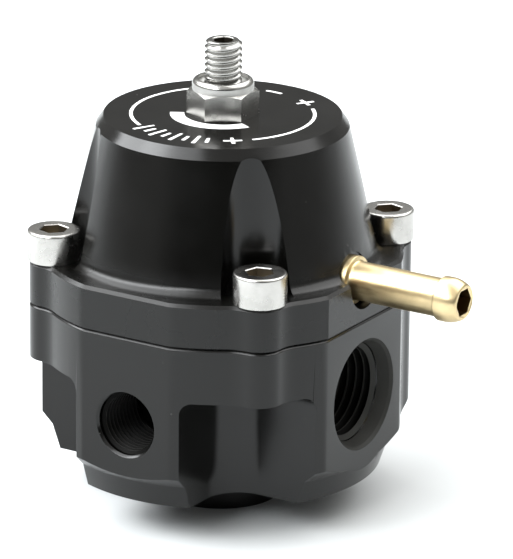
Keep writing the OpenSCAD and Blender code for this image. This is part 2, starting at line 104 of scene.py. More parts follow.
def degrees(name, description, default):
    """Property for an angle, given in degrees."""
    return FloatProperty(name=name, description=description, default=math.radians(default), subtype="ANGLE")


def level(name, description, default):
    """Property for a power, a brightness or a share."""
    return FloatProperty(name=name, description=description, default=default, min=0.0, precision=3)


def tint(name, description, default):
    """Property for a colour."""
    return FloatVectorProperty(name=name, description=description, default=default, subtype="COLOR", size=3)


def point(name, description, default):
    """Property for a place or a way."""
    return FloatVectorProperty(
        name=name, description=description, default=default, subtype="XYZ", size=3, precision=5)


class RegulatorEdges(PropertyGroup):
    """Eased edges of the machined pieces"""

    body: metres("Body Edge", "Width of the eased edges of the two black pieces", 0.16 * MM)
    nut: metres("Nut Edge", "Width of the eased edges of the lock nut", 0.09 * MM)
    least_angle: degrees("Least Angle", "Edges that turn less than this are not eased", 25)
    crisp_angle: degrees("Crisp Angle", "Edges that turn less than this are shaded as one surface", 15)
    segments: IntProperty(
        name="Segments", description="Faces across an eased edge", default=3, min=1)


class RegulatorThreads(PropertyGroup):
    """Screw threads of the ports and of the adjusting screw"""

    inlet_pitch: metres("Inlet Pitch", "Rise of the inlet threads in one turn", 1.5 * MM)
    gauge_pitch: metres("Gauge Pitch", "Rise of the gauge port's thread in one turn", 0.941 * MM)
    return_pitch: metres("Return Pitch", "Rise of the return port's thread in one turn", 1.5 * MM)
    stud_pitch: metres("Screw Pitch", "Rise of the adjusting screw's thread in one turn", 1.0 * MM)
    depth_share: level("Depth Share", "Depth of a port's thread as a share of its pitch", 0.58)
    steps: IntProperty(
        name="Steps", description="Points in one turn of a thread", default=72, min=12)


class RegulatorPrint(PropertyGroup):
    """Adjusting marks printed on the cover's flat top"""

    ring_radius: metres("Ring Radius", "Radius of the printed ring on its middle line", 14.6 * MM)
    line: metres("Line", "Width of the printed lines", 0.55 * MM)
    thickness: metres("Thickness", "Thickness of the paint", 0.02 * MM)
    band_inner: metres("Band Inside", "Inner radius of the printed band beside the nut", 6.15 * MM)
    band_outer: metres("Band Outside", "Outer radius of the printed band beside the nut", 8.4 * MM)


class RegulatorColours(PropertyGroup):
    """Colours of the finishes"""

    black: tint("Black", "Black anodised surfaces", (0.0012, 0.00115, 0.0009))
    # A slightly lighter black on the eased edges: a faint painted highlight along them.
    edge: tint("Edge", "Thin anodising along the edges", (0.005, 0.005, 0.0052))
    stainless: tint("Stainless", "Cap screws", (0.5, 0.49, 0.47))
    nut: tint("Nut", "Duller stainless of the lock nut and the adjusting screw", (0.4, 0.395, 0.378))
    # Brown that paints the shade inside the hexagon sockets.
    socket: tint("Socket", "Oily steel inside the hexagon sockets", (0.3, 0.26, 0.2))
    # Lighter colour that paints the lit crests of the port threads and their mouth rings.
    crest: tint("Crest", "Worn crests of the threads in the ports", (0.028, 0.028, 0.026))
    brass: tint("Brass", "Vacuum barb and valve seat", (0.7, 0.56, 0.32))
    # Brown of the barb's streak, tarnish and a painted reflection of the dark body, and of the painted shade
    # in the barb's socket.
    tarnish_and_painted_shade: tint("Tarnish", "Brown tarnish on the brass", (0.22, 0.13, 0.05))
    steel: tint("Steel", "Plain steel pieces inside", (0.5, 0.5, 0.5))
    nylon: tint("Nylon", "Ring in the lock nut", (0.45, 0.45, 0.43))
    rubber: tint("Rubber", "Diaphragm and O-ring", (0.012, 0.012, 0.012))
    paint: tint("Paint", "Printed marks", (0.86, 0.86, 0.85))
    dust: tint("Dust", "Specks of dust on the black surfaces", (0.07, 0.07, 0.065))
    floor: tint("Floor", "Floor that the part stands on", (0.58, 0.597, 0.602))


class RegulatorStudio(PropertyGroup):
    """Camera and lights"""

    eye: point("Eye", "Place of the camera", (0.43370, -0.68419, 0.31093))
    target: point("Target", "Point in the middle of the picture", (0.00538, 0.00196, 0.03603))
    roll: degrees("Roll", "Turn of the camera about its view", 0.571)
    lens: level("Lens", "Focal length in millimetres", 343.4)
    floor_size: metres("Floor Size", "Side of the floor", 3.0)
    key_power: level("Key Light", "Power of the soft light high on the left in watts", 20.0)
    high_power: level("High Light", "Power of the large soft light above the key light in watts", 17.5)
    top_power: level("Top Light", "Power of the soft light high behind on the right in watts", 15.0)
    front: point("Front", "Way to the dark side of the room", (0.5354, -0.8446, 0.0))
    front_level: level("Front Level", "Brightness of the room low in front", 0.03)
    side_level: level("Side Level", "Brightness of the room low on both sides", 0.5)
    back_level: level("Back Level", "Brightness of the room low behind", 0.2)
    roof_level: level("Roof Level", "Brightness of the room above", 0.85)


SETTINGS = {
    "regulator_edges": RegulatorEdges,
    "regulator_threads": RegulatorThreads,
    "regulator_print": RegulatorPrint,
    "regulator_colours": RegulatorColours,
    "regulator_studio": RegulatorStudio,
}


# Node helpers

def fill(tree, target, inputs):
    """Fills the inputs of a node with values or links; a plain colour gets its fourth value here."""
    for key, value in inputs.items():
        socket = target.inputs[key]
        if isinstance(value, NodeSocket):
            tree.links.new(value, socket)
        elif socket.type == "RGBA":
            socket.default_value = (*value, 1.0)
        else:
            socket.default_value = value


def new_node(tree, kind, inputs=None, **settings):
    """New node with its settings and its inputs."""
    made = tree.nodes.new(kind)
    for key, value in settings.items():
        setattr(made, key, value)
    fill(tree, made, inputs or {})
    return made


def add(tree, kind, inputs=None, **settings):
    """First output of a new node."""
    return new_node(tree, kind, inputs, **settings).outputs[0]


def reckon(tree, operation, *values):
    """Result of one arithmetic step."""
    return add(tree, "ShaderNodeMath", dict(enumerate(values)), operation=operation)


def scaled_range(tree, value, low, high, to_low=0.0, to_high=1.0):
    """Value carried from one range to another, and held inside it."""
    ends = {"Value": value, "From Min": low, "From Max": high, "To Min": to_low, "To Max": to_high}
    return add(tree, "ShaderNodeMapRange", ends)


def vector(tree, **parts):
    """Vector made from its parts."""
    return add(tree, "ShaderNodeCombineXYZ", parts)


def parts_of(tree, place):
    """Parts of a vector."""
    return new_node(tree, "ShaderNodeSeparateXYZ", {0: place}).outputs


def axis_distance(tree, place):
    """Distance of a place from the Z axis."""
    parts = parts_of(tree, place)
    flat = vector(tree, X=parts["X"], Y=parts["Y"])
    return new_node(tree, "ShaderNodeVectorMath", {0: flat}, operation="LENGTH").outputs["Value"]


def along_way(tree, place, way):
    """How far a place lies along a way."""
    inputs = {0: place, 1: way}
    return new_node(tree, "ShaderNodeVectorMath", inputs, operation="DOT_PRODUCT").outputs["Value"]


def noise(tree, place, scale, detail, roughness=0.5, **settings):
    """Even noise at a place."""
    inputs = {"Vector": place, "Scale": scale, "Detail": detail, "Roughness": roughness}
    return add(tree, "ShaderNodeTexNoise", inputs, **settings)


def new_tree(name, kind, inputs, outputs):
    """Empty node group with sockets listed by kind, its input sockets and its output node."""
    tree = bpy.data.node_groups.new(name, kind)
    for side, sockets in (("INPUT", inputs), ("OUTPUT", outputs)):
        for socket, label in ((socket, label) for socket in sockets for label in sockets[socket]):
            tree.interface.new_socket(name=label, in_out=side, socket_type=socket)
    return tree, tree.nodes.new("NodeGroupInput").outputs, tree.nodes.new("NodeGroupOutput")


# Mesh helpers

def plain_mesh(holder):
    """Plain mesh of an object with its modifiers applied; the object itself goes."""
    graph = bpy.context.evaluated_depsgraph_get()
    mesh = bpy.data.meshes.new_from_object(holder.evaluated_get(graph), depsgraph=graph)
    bpy.data.objects.remove(holder)
    return mesh


def held(mesh):
    """Object that carries a mesh in the scene."""
    holder = bpy.data.objects.new(mesh.name, mesh)
    bpy.context.scene.collection.objects.link(holder)
    return holder


def grown(tree, values):
    """Plain mesh that a geometry node tree makes from its named inputs."""
    holder = held(bpy.data.meshes.new(tree.name))
    modifier = holder.modifiers.new(tree.name, "NODES")
    modifier.node_group = tree
    for item in tree.interface.items_tree:
        if item.in_out == "INPUT" and item.name in values:
            modifier[item.identifier] = values[item.name]
    return plain_mesh(holder)


def piece(name, mesh, coats, body, slot, *nodes):
    """Finished piece that rides on a body, if one is given, and may stand for nodes of the solids."""
    mesh.name = name
    made = held(mesh)
    made.name = name
    for index, coat in enumerate(coats):
        if index < len(mesh.materials):
            mesh.materials[index] = finish(coat)
        else:
            mesh.materials.append(finish(coat))
    if body:
        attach(made, body)
    if nodes:
        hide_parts(*nodes)
    return made


def eased_copy(node, width):
    """Merged copy of a solid whose flat faces are joined and whose sharp edges are eased."""
    edges = bpy.context.scene.regulator_edges
    weld = 0.002 * MM
    flat = math.radians(0.05)
    mesh = bpy.data.meshes.new(node)
    work = bmesh.new()
    work.from_mesh(frame["nodes"][node].data)
    bmesh.ops.remove_doubles(work, verts=work.verts, dist=weld)
    bmesh.ops.dissolve_limit(work, angle_limit=flat, verts=work.verts, edges=work.edges)
    for face in work.faces:
        face.smooth = True
        face.material_index = 0
    for edge in work.edges:
        turn = edge.calc_face_angle(0.0)
        edge.smooth = turn < edges.crisp_angle or turn > edges.least_angle
    work.to_mesh(mesh)
    work.free()
    for _ in ("faces", "edges"):
        mesh.materials.append(None)
    holder = held(mesh)
    bevel = holder.modifiers.new("eased", "BEVEL")
    bevel.width = width
    bevel.segments = edges.segments
    bevel.limit_method = "ANGLE"
    bevel.angle_limit = edges.least_angle
    bevel.miter_outer = "MITER_ARC"
    # The eased faces take the second slot; on the black pieces that is a faint painted highlight.
    bevel.material = 1
    shading = holder.modifiers.new("shading", "WEIGHTED_NORMAL")
    shading.keep_sharp = True
    return plain_mesh(holder)


def rounded(corners, steps=5):
    """Profile in which each corner (height, radius, rounding) is rounded by its third value."""
    profile = []
    count = len(corners)
    for index, (height, radius, rounding) in enumerate(corners):
        here = Vector((height, radius))
        if rounding == 0 or index in (0, count - 1):
            profile.append((height, radius))
            continue
        before = Vector(corners[index - 1][:2])
        after = Vector(corners[index + 1][:2])
        start = here + (before - here).normalized() * rounding
        end = here + (after - here).normalized() * rounding
        for step in range(steps + 1):
            share = step / steps
            profile.append(tuple(start.lerp(here, share).lerp(here.lerp(end, share), share)))
    return profile


def hexagon_reach(half_width, angle):
    """Distance from the middle of a hexagon to its outline, with a corner at angle nought."""
    sixth = math.radians(60)
    return half_width / math.cos(angle % sixth - sixth / 2)


def turned(name, profile, segments=96):
    """Turned mesh about Z from (height, radius) rings in millimetres; a third value makes a hexagon."""
    work = bmesh.new()
    rings = []
    for height, radius, *hexagonal in profile:
        if radius == 0:
            rings.append([work.verts.new((0, 0, height * MM))])
            continue
        ring = []
        for step in range(segments):
            angle = math.tau * step / segments
            reach = hexagon_reach(radius, angle) if hexagonal else radius
            ring.append(work.verts.new((
                reach * MM * math.cos(angle), reach * MM * math.sin(angle), height * MM)))
        rings.append(ring)
    pairs = list(zip(rings, rings[1:]))
    if len(rings[0]) > 1:
        pairs.append((rings[-1], rings[0]))
    for low, high in pairs:
        for step in range(segments):
            after = (step + 1) % segments
            corners = [ring[place % len(ring)] for ring, place in (
                (low, step), (low, after), (high, after), (high, step))]
            work.faces.new(list(dict.fromkeys(corners)))
    mesh = closed_mesh(name, work)
    smooth_by_angle(mesh)
    return mesh


def shade_socket_faces(mesh, reach, top):
    """Gives the inside of a socket at the upper end of a turned mesh its own material slot, for painted
    shade.
    """
    overhang = -0.1
    for face in mesh.polygons:
        inside = face.center.xy.length < reach and 0 < face.center.z < top
        face.material_index = int(inside and face.normal.z > overhang)


def smooth_by_angle(mesh):
    """Smooth shading that keeps the sharp edges."""
    mesh.shade_smooth()
    mesh.set_sharp_from_angle(angle=CREASE)


def turn_outwards(work):
    """Turns the faces of closed solids outwards."""
    bmesh.ops.recalc_face_normals(work, faces=work.faces)
    if work.calc_volume(signed=True) < 0:
        bmesh.ops.reverse_faces(work, faces=work.faces)


def outward(mesh):
    """Turns the faces of a closed mesh outwards."""
    work = bmesh.new()
    work.from_mesh(mesh)
    turn_outwards(work)
    work.to_mesh(mesh)
    work.free()


def swept(work, profile, start, end):
    """Adds a closed solid: a loop of (radius, height) points swept between two angles in degrees."""
    step_angle = 2
    steps = max(1, round(abs(end - start) / step_angle))
    rows = []
    for step in range(steps + 1):
        angle = math.radians(start + (end - start) * step / steps)
        row = [(math.cos(angle) * radius, math.sin(angle) * radius, height) for radius, height in profile]
        rows.append([work.verts.new(place) for place in row])
    count = len(profile)
    for first, second in zip(rows, rows[1:]):
        for side in range(count):
            after = (side + 1) % count
            work.faces.new((first[side], first[after], second[after], second[side]))
    work.faces.new(rows[0])
    work.faces.new(rows[-1])


def arc_band(work, inner, outer, start, end, low, high):
    """Adds a thin closed band between two radii, from one angle to another in degrees."""
    swept(work, ((inner, low), (outer, low), (outer, high), (inner, high)), start, end)


def closed_mesh(name, work):
    """Mesh of closed solids with its faces turned outwards; the working copy goes."""
    turn_outwards(work)
    mesh = bpy.data.meshes.new(name)
    work.to_mesh(mesh)
    work.free()
    return mesh


# Geometry node trees

@cache
def helical_path_tree():
    """Path that climbs round the Z axis, with closed turns at both ends."""
    tree, given, out = new_tree(
        "helical_path", "GeometryNodeTree",
        {FLOAT: ("Radius", "Rise", "Turns", "Closed Turns"), INT: ("Steps",)},
        {GEOMETRY: ("Path",), FLOAT: ("Turn",)})
    circle = add(tree, "GeometryNodeCurveSpiral", {
        "Resolution": given["Steps"], "Rotations": given["Turns"], "Start Radius": given["Radius"],
        "End Radius": given["Radius"], "Height": 0.0, "Reverse": True})
    along = add(tree, "GeometryNodeSplineParameter")
    turn = reckon(tree, "MULTIPLY", along, given["Turns"])
    last = reckon(tree, "SUBTRACT", given["Turns"], given["Closed Turns"])
    climb = scaled_range(tree, turn, given["Closed Turns"], last, 0.0, given["Rise"])
    lift = vector(tree, Z=climb)
    raised = add(tree, "GeometryNodeSetPosition", {"Geometry": circle, "Offset": lift})
    upright = add(tree, "GeometryNodeSetCurveNormal", {"Curve": raised}, mode="Z_UP")
    fill(tree, out, {"Path": upright, "Turn": turn})
    return tree


def placed_path(tree, given, radius, *shared):
    """Helical path in a tree, with its radius and the inputs that both trees name alike."""
    inputs = {"Radius": given[radius], **{label: given[label] for label in shared}}
    return new_node(tree, "GeometryNodeGroup", inputs, node_tree=helical_path_tree()).outputs


def coated(tree, geometry, coat, where=True):
    """Geometry with a finish on its chosen faces."""
    inputs = {"Geometry": geometry, "Selection": where, "Material": coat}
    return add(tree, "GeometryNodeSetMaterial", inputs)


def real_coated(tree, geometry, coat):
    """Geometry with smooth shading and crisp edges, made real, with a finish."""
    smooth = add(tree, "GeometryNodeSetShadeSmooth", {"Geometry": geometry})
    turn = add(tree, "GeometryNodeInputMeshEdgeAngle")
    sharp = add(tree, "FunctionNodeCompare", {"A": turn, "B": CREASE})
    crisp = add(
        tree, "GeometryNodeSetShadeSmooth",
        {"Geometry": smooth, "Selection": sharp, "Shade Smooth": False}, domain="EDGE")
    real = add(tree, "GeometryNodeRealizeInstances", {"Geometry": crisp})
    return coated(tree, real, coat)


@cache
def thread_tree():
    """Ridge of a screw thread that fades out at both ends; a depth below nought points inwards."""
    tree, given, out = new_tree(
        "thread_ridge", "GeometryNodeTree",
        {FLOAT: ("Root Radius", "Depth", "Foot Width", "Crest Width", "Rise", "Turns", "Run-out"),
         INT: ("Steps",), MATERIAL: ("Finish", "Crest Finish")},
        {GEOMETRY: ("Geometry",)})
    least, crest_share = 0.05, 0.9
    path = placed_path(tree, given, "Root Radius", "Rise", "Turns", "Steps")
    corners = {}
    for index, (reach, width, side) in enumerate((
            (0.0, "Foot Width", -0.5), (given["Depth"], "Crest Width", -0.5),
            (given["Depth"], "Crest Width", 0.5), (0.0, "Foot Width", 0.5))):
        across = reckon(tree, "MULTIPLY", given[width], side)
        corners[f"Point {index + 1}"] = vector(tree, X=reach, Y=across)
    section = add(tree, "GeometryNodeCurvePrimitiveQuadrilateral", corners, mode="POINTS")
    left = reckon(tree, "SUBTRACT", given["Turns"], path["Turn"])
    end = reckon(tree, "MINIMUM", path["Turn"], left)
    fade = scaled_range(tree, end, 0.0, given["Run-out"], least, 1.0)
    ridge = add(tree, "GeometryNodeCurveToMesh", {
        "Curve": path["Path"], "Profile Curve": section, "Scale": fade, "Fill Caps": True})
    dressed = real_coated(tree, ridge, given["Finish"])
    radius = axis_distance(tree, add(tree, "GeometryNodeInputPosition"))
    # Faces near the crest get the crest finish, which paints the lit crests in the ports.
    crest = reckon(tree, "MULTIPLY_ADD", given["Depth"], crest_share, given["Root Radius"])
    beyond = reckon(tree, "SUBTRACT", radius, crest)
    passed = reckon(tree, "MULTIPLY", beyond, reckon(tree, "SIGN", given["Depth"]))
    on_crest = reckon(tree, "GREATER_THAN", passed, 0.0)
    fill(tree, out, {"Geometry": coated(tree, dressed, given["Crest Finish"], on_crest)})
    return tree


def coil_tree():
    """Coil spring of round wire with closed ends."""
    tree, given, out = new_tree(
        "coil_spring", "GeometryNodeTree",
        {FLOAT: ("Coil Radius", "Wire Radius", "Rise", "Turns", "Closed Turns"), INT: ("Steps",),
         MATERIAL: ("Finish",)},
        {GEOMETRY: ("Geometry",)})
    path = placed_path(tree, given, "Coil Radius", "Rise", "Turns", "Closed Turns", "Steps")
    wire = add(tree, "GeometryNodeCurvePrimitiveCircle", {"Resolution": 20, "Radius": given["Wire Radius"]})
    coil = add(tree, "GeometryNodeCurveToMesh", {
        "Curve": path["Path"], "Profile Curve": wire, "Fill Caps": True})
    fill(tree, out, {"Geometry": real_coated(tree, coil, given["Finish"])})
    return tree


def screw_circle_tree():
    """One screw repeated round a circle, each turned with its place."""
    tree, given, out = new_tree(
        "screw_circle", "GeometryNodeTree",
        {OBJECT: ("Screw",), INT: ("Count",), FLOAT: ("Pitch Radius", "Level", "First Angle"),
         MATERIAL: ("Finish", "Socket Finish")},
        {GEOMETRY: ("Geometry",)})
    places = add(tree, "GeometryNodeMeshCircle", {
        "Vertices": given["Count"], "Radius": given["Pitch Radius"]})
    raised = add(tree, "GeometryNodeTransform", {
        "Geometry": places, "Translation": vector(tree, Z=given["Level"]),
        "Rotation": vector(tree, Z=given["First Angle"])})
    share = reckon(tree, "DIVIDE", math.tau, given["Count"])
    index = add(tree, "GeometryNodeInputIndex")
    turn = vector(tree, Z=reckon(tree, "MULTIPLY_ADD", index, share, given["First Angle"]))
    screw = new_node(tree, "GeometryNodeObjectInfo", {"Object": given["Screw"]}).outputs["Geometry"]
    screws = add(tree, "GeometryNodeInstanceOnPoints", {
        "Points": raised, "Instance": screw, "Rotation": turn})
    real = add(tree, "GeometryNodeRealizeInstances", {"Geometry": screws})
    dressed = coated(tree, real, given["Finish"])
    inside = add(
        tree, "GeometryNodeInputNamedAttribute", {"Name": "socket"}, data_type="BOOLEAN")
    fill(tree, out, {"Geometry": coated(tree, dressed, given["Socket Finish"], inside)})
    return tree


# Shared effects of the finishes

@cache
def turned_lines_group():
    """Fine rings that a lathe tool leaves about the Z axis."""
    tree, given, out = new_tree(
        "turned_lines", "ShaderNodeTree", {VECTOR: ("Place",), FLOAT: ("Spacing",)}, {FLOAT: ("Height",)})
    across = reckon(tree, "DIVIDE", axis_distance(tree, given["Place"]), given["Spacing"])
    along = reckon(tree, "DIVIDE", parts_of(tree, given["Place"])["Z"], given["Spacing"])
    flat = vector(tree, X=across, Y=along)
    rings = noise(tree, flat, 1.0, 2.0, roughness=0.6, noise_dimensions="2D")
    fill(tree, out, {"Height": rings})
    return tree


@cache
def fine_grain_group():
    """Fine grain of a surface, and slow clouds for its uneven gloss."""
    tree, given, out = new_tree(
        "fine_grain", "ShaderNodeTree", {VECTOR: ("Place",), FLOAT: ("Size", "Cloud Size")},
        {FLOAT: ("Grain", "Clouds")})
    for label, size, detail in (("Grain", "Size", 3.0), ("Clouds", "Cloud Size", 4.0)):
        scale = reckon(tree, "DIVIDE", 1.0, given[size])
        grain = noise(tree, given["Place"], scale, detail, roughness=0.55)
        fill(tree, out, {label: grain})
    return tree


@cache
def dust_group():
    """Sparse specks of dust of uneven size."""
    tree, given, out = new_tree(
        "dust_specks", "ShaderNodeTree", {VECTOR: ("Place",), FLOAT: ("Spacing", "Speck", "Share")},
        {FLOAT: ("Mask",)})
    core_share = 0.6
    scale = reckon(tree, "DIVIDE", 1.0, given["Spacing"])
    cells = new_node(tree, "ShaderNodeTexVoronoi", {"Vector": given["Place"], "Scale": scale})
    chance = new_node(tree, "ShaderNodeSeparateColor", {0: cells.outputs["Color"]}).outputs
    kept = reckon(tree, "LESS_THAN", chance["Red"], given["Share"])
    largest = reckon(tree, "DIVIDE", given["Speck"], given["Spacing"])
    size = reckon(tree, "MULTIPLY", largest, chance["Green"])
    core = reckon(tree, "MULTIPLY", size, core_share)
    near = scaled_range(tree, cells.outputs["Distance"], size, core)
    fill(tree, out, {"Mask": reckon(tree, "MULTIPLY", kept, near)})
    return tree


@cache
def tarnish_and_reflection_group():
    """Brown streak along one side of a round bar about the Z axis, strongest near its foot: tarnish and a
    painted reflection of the dark body beside it.
    """
    tree, given, out = new_tree(
        "side_stain", "ShaderNodeTree", {VECTOR: ("Place", "Way"), FLOAT: ("Radius", "Foot", "End")},
        {FLOAT: ("Mask",)})
    stretch, wave_count, waviness = 0.2, 3.0, 0.24
    line_edge, lead_in, strength = 0.9, 0.4, 0.9
    facing = along_way(tree, given["Place"], given["Way"])
    parts = parts_of(tree, given["Place"])
    slow = reckon(tree, "MULTIPLY", parts["Z"], stretch)
    drawn = vector(tree, X=parts["X"], Y=parts["Y"], Z=slow)
    waves = noise(tree, drawn, reckon(tree, "DIVIDE", wave_count, given["Radius"]), 2.0)
    uneven = reckon(tree, "MULTIPLY_ADD", waves, waviness, -waviness / 2)
    side = reckon(tree, "ADD", reckon(tree, "DIVIDE", facing, given["Radius"]), uneven)
    line = scaled_range(tree, side, line_edge, 1.0)
    full = reckon(tree, "MULTIPLY_ADD", given["Radius"], lead_in, given["Foot"])
    rising = scaled_range(tree, parts["Z"], given["Foot"], full)
    falling = scaled_range(tree, parts["Z"], given["Foot"], given["End"], strength, 0.0)
    fade = reckon(tree, "MINIMUM", rising, falling)
    fill(tree, out, {"Mask": reckon(tree, "MULTIPLY", line, fade)})
    return tree


# Finishes

def shade(colour, share):
    """Colour made darker or lighter by a share."""
    return tuple(share * value for value in colour)


FINISHES = {}


def new_finish(name):
    """New material with its tree and its shader."""
    material = bpy.data.materials.new(name)
    material.use_nodes = True
    FINISHES[name] = material
    return material.node_tree, material.node_tree.nodes["Principled BSDF"]


def effect(tree, group, **values):
    """Outputs of a shared effect with its own values."""
    inputs = {label.replace("_", " "): value for label, value in values.items()}
    return new_node(tree, "ShaderNodeGroup", inputs, node_tree=group).outputs


def mixed(tree, share, first, second):
    """Colour between two colours."""
    factor, colour_a, colour_b, result = 0, 6, 7, 2
    inputs = {factor: share, colour_a: first, colour_b: second}
    return new_node(tree, "ShaderNodeMix", inputs, data_type="RGBA").outputs[result]


def clouded(tree, clouds, low=0.0, high=1.0):
    """Value that drifts between two ends with the clouds of a surface."""
    thin, thick = 0.3, 0.7
    return scaled_range(tree, clouds, thin, thick, low, high)


def coordinates(tree, attribute=None, turn=None, shift=None):
    """Coordinates that a finish follows."""
    if attribute:
        return new_node(tree, "ShaderNodeAttribute", attribute_name=attribute).outputs["Vector"]
    place = new_node(tree, "ShaderNodeTexCoord").outputs["Object"]
    if turn is None:
        return place
    inputs = {"Vector": place, "Rotation": turn, "Location": shift}
    return add(tree, "ShaderNodeMapping", inputs)


def relief(tree, heights, depth):
    """Normals of a small relief from weighted heights."""
    total = 0.0
    for height, weight in heights:
        total = reckon(tree, "ADD", total, reckon(tree, "MULTIPLY", height, weight))
    inputs = {"Height": total, "Strength": 1.0, "Distance": depth}
    return add(tree, "ShaderNodeBump", inputs)


def anodised(name, colour, gloss, lines, dust_share, shine=0.34, hollow_level=None):
    """Black anodised metal with uneven gloss, grain, tool rings and dust; duller in a hollow."""
    colours = bpy.context.scene.regulator_colours
    tree, shader = new_finish(name)
    place = coordinates(tree)
    grain = effect(tree, fine_grain_group(), Place=place, Size=0.2 * MM, Cloud_Size=9 * MM)
    rings = effect(tree, turned_lines_group(), Place=place, Spacing=0.12 * MM)["Height"]
    specks = effect(
        tree, dust_group(), Place=place, Spacing=1.7 * MM, Speck=0.19 * MM, Share=dust_share)["Mask"]
    bare = mixed(tree, clouded(tree, grain["Clouds"]), colour, shade(colour, 1.2))
    rough = clouded(tree, grain["Clouds"], *gloss)
    if hollow_level is not None:
        foot, roof, duller = hollow_level + 2 * MM, hollow_level + 4 * MM, 0.08
        dull = scaled_range(tree, parts_of(tree, place)["Z"], foot, roof, duller, 0.0)
        rough = reckon(tree, "ADD", rough, dull)
    matt_specks = reckon(tree, "MULTIPLY", specks, 0.3)
    fill(tree, shader, {
        "Base Color": mixed(tree, specks, bare, colours.dust),
        "Roughness": reckon(tree, "ADD", rough, matt_specks),
        "Normal": relief(tree, ((grain["Grain"], 1.0), (rings, lines)), 0.0013 * MM),
        "Specular IOR Level": shine})


def metal(name, colour, gloss, spacing, depth, tarnish_and_painted_shade=None, **place):
    """Turned bare metal with tool rings, darker clouds and uneven gloss; a brown streak on one side is
    tarnish and a painted reflection of the dark body.
    """
    tree, shader = new_finish(name)
    where = coordinates(tree, **place)
    grain = effect(tree, fine_grain_group(), Place=where, Size=0.16 * MM, Cloud_Size=2.6 * MM)
    rings = effect(tree, turned_lines_group(), Place=where, Spacing=spacing)["Height"]
    clouds = scaled_range(tree, grain["Clouds"], 0.35, 0.75)
    bare = mixed(tree, clouds, colour, shade(colour, 0.82))
    # Brown streak by the collar: tarnish and a painted reflection of the dark body.
    if tarnish_and_painted_shade:
        foot = barb_low.x + (BARB_THREAD + BARB_COLLAR) * MM
        tarnish_and_reflection = effect(
            tree, tarnish_and_reflection_group(), Place=where, Way=(-0.13, -0.99, 0.0), Radius=BARB_TUBE * MM,
            Foot=foot, End=barb_high.x - BARB_TUBE * MM)["Mask"]
        bare = mixed(tree, tarnish_and_reflection, bare, tarnish_and_painted_shade)
    fill(tree, shader, {
        "Base Color": bare, "Roughness": clouded(tree, grain["Clouds"], *gloss), "Metallic": 1.0,
        "Normal": relief(tree, ((rings, 1.0), (grain["Grain"], 0.25)), depth)})


def soft(name, colour, rough, size, depth):
    """Moulded plastic, rubber or paint with a fine grain."""
    tree, shader = new_finish(name)
    grain = effect(tree, fine_grain_group(), Place=coordinates(tree), Size=size, Cloud_Size=4 * MM)
    clouds = grain["Clouds"]
    fill(tree, shader, {
        "Base Color": mixed(tree, clouded(tree, clouds), colour, shade(colour, 0.8)),
        "Roughness": clouded(tree, clouds, rough, rough + 0.12),
        "Normal": relief(tree, ((grain["Grain"], 1.0),), depth)})


def make_finishes():
    """Makes every finish of the part."""
    colours = bpy.context.scene.regulator_colours
    flange_level = screws_high.z - SCREW_HEAD * MM
    anodised("black_body", colours.black, (0.2, 0.26), 0.25, 0.16)
    anodised("black_cover", colours.black, (0.17, 0.23), 1.0, 0.2, hollow_level=flange_level)
    # Eased edges a little lighter than the body: a faint painted highlight.
    anodised("black_edge", colours.edge, (0.2, 0.26), 0.25, 0.05)
    anodised("black_thread", colours.black, (0.45, 0.55), 0.0, 0.0, shine=0.05)
    # Lighter crests and mouth rings: painted highlight on the port threads.
    anodised("worn_crest", colours.crest, (0.45, 0.55), 0.0, 0.0, shine=0.1)
    fine, coarse, wide = 0.09 * MM, 0.12 * MM, 0.2 * MM
    faint, slight, deep = 0.0015 * MM, 0.002 * MM, 0.004 * MM
    metal("stainless_screw", colours.stainless, (0.2, 0.3), fine, slight, attribute="own_place")
    # Painted shade inside the hexagon sockets: brown in the cap screws, darker in the adjusting screw.
    metal("oily_socket", colours.socket, (0.3, 0.42), fine, slight)
    metal("dark_socket", shade(colours.socket, 0.3), (0.35, 0.45), fine, slight)
    metal("stainless_stud", colours.nut, (0.16, 0.26), fine, slight)
    metal("stainless_nut", colours.nut, (0.2, 0.28), coarse, faint)
    barb = {"turn": (0, -math.pi / 2, 0), "shift": (barb_level, 0, 0)}
    metal("brass_barb", colours.brass, (0.28, 0.36), coarse, faint, colours.tarnish_and_painted_shade, **barb)
    # Painted shade inside the barb's socket, in the brown of the barb's streak.
    metal("brass_socket", colours.tarnish_and_painted_shade, (0.3, 0.4), coarse, faint, **barb)
    metal("brass_seat", colours.brass, (0.2, 0.3), coarse, deep)
    metal("turned_steel", colours.steel, (0.24, 0.36), coarse, deep)
    metal("spring_wire", colours.steel, (0.3, 0.4), wide, slight)
    soft("pale_nylon", colours.nylon, 0.42, 0.2 * MM, 0.004 * MM)
    soft("black_rubber", colours.rubber, 0.6, 0.15 * MM, 0.008 * MM)
    soft("white_paint", colours.paint, 0.45, 0.12 * MM, 0.003 * MM)


def finish(name):
    """Material of that name, with all finishes made at the first call."""
    if not FINISHES:
        make_finishes()
    return FINISHES[name]


def paint_node(node, name):
    """Gives a node of the solids its finish."""
    mesh = frame["nodes"][node].data
    mesh.materials.clear()
    mesh.materials.append(finish(name))


# Pieces made more than once

def eased_piece(name, node, width, coats, slot):
    """Piece of the housing that stands for a solid, with its edges eased."""
    piece(name, eased_copy(node, width), coats, "housing", slot, node)


def thread_mesh(root, depth, pitch, rise, foot_share, run_out, coats):
    """Ridge of a screw thread that starts at the origin and climbs along Z."""
    crest_share = 0.2
    coat, crest_coat = coats
    return grown(thread_tree(), {
        "Root Radius": root, "Depth": depth, "Foot Width": foot_share * pitch,
        "Crest Width": crest_share * pitch, "Rise": rise, "Turns": rise / pitch, "Run-out": run_out,
        "Steps": bpy.context.scene.regulator_threads.steps, "Finish": finish(coat),
        "Crest Finish": finish(crest_coat)})


def set_along(mesh, place, way):
    """Moves a mesh made about Z to a place, with its axis along a way."""
    mesh.transform(Matrix.Translation(place) @ way.to_track_quat("Z", "Y").to_matrix().to_4x4())


# Operators

